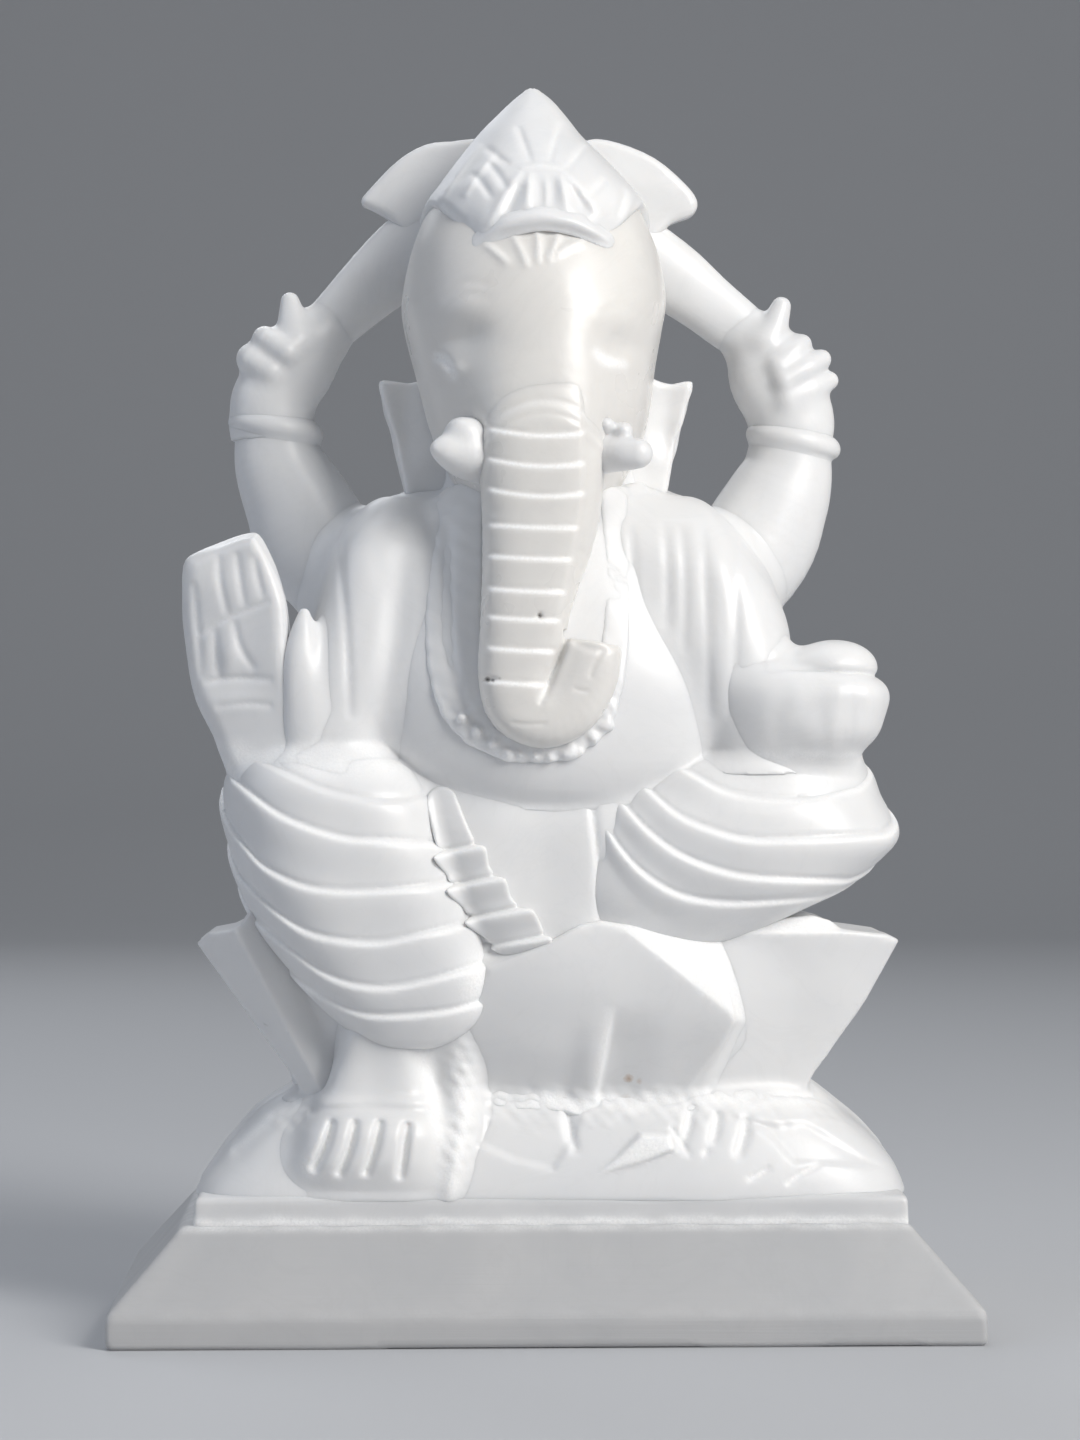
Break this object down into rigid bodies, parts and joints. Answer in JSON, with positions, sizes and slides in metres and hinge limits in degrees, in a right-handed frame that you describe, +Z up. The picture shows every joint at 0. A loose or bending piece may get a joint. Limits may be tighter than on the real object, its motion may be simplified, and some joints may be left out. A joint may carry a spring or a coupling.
{
  "type": "ganesha idol",
  "caption": "Carved white marble figure with an elephant head, seated on a lotus over a stepped plinth, four arms, one raised in blessing.",
  "frame": {"origin": "centre of the plinth's flat underside, on the surface that the idol stands on", "axes": "+Z up, the figure faces -Y, +X is the figure's own left, which is the viewer's right"},
  "size_m": [0.211, 0.1145, 0.3081],
  "materials": {
    "white_marble": "softly polished white marble, crushed white in the cut grooves",
    "warm_marble": "polished white marble with a faint warm grey cast",
    "sawn_marble": "fine-sawn marble, matt, with faint level saw lines"
  },
  "bodies": {
    "root": {"axe_blade_left": "white_marble", "axe_blade_right": "white_marble", "axe_shaft_left": "white_marble", "axe_shaft_right": "white_marble", "belly": "white_marble", "blessing_hand": "white_marble", "blessing_thumb": "white_marble", "bracelet_left": "white_marble", "bracelet_right": "white_marble", "crown": "white_marble", "crown_band": "white_marble", "ear_left": "white_marble", "ear_right": "white_marble", "garland": "white_marble", "head": "warm_marble", "left_leg": "white_marble", "lotus_base": "white_marble", "lotus_petal_1": "white_marble", "lotus_petal_2": "white_marble", "lotus_petal_3": "white_marble", "lotus_petal_4": "white_marble", "lotus_petal_5": "white_marble", "lotus_petal_front": "white_marble", "lotus_petal_front_left": "white_marble", "lotus_petal_front_right": "white_marble", "lotus_seat": "white_marble", "modak": "white_marble", "offering_hand": "white_marble", "plinth": "sawn_marble", "plinth_step": "sawn_marble", "raised_arm_left": "white_marble", "raised_arm_right": "white_marble", "raised_hand_left": "white_marble", "raised_hand_right": "white_marble", "right_foot": "white_marble", "right_leg": "white_marble", "shawl_left": "white_marble", "shawl_right": "white_marble", "torso": "white_marble", "trunk": "warm_marble", "tusk_left": "white_marble", "tusk_right": "white_marble", "waist_cloth": "white_marble", "waist_sash": "white_marble"}
  },
  "joints": []
}
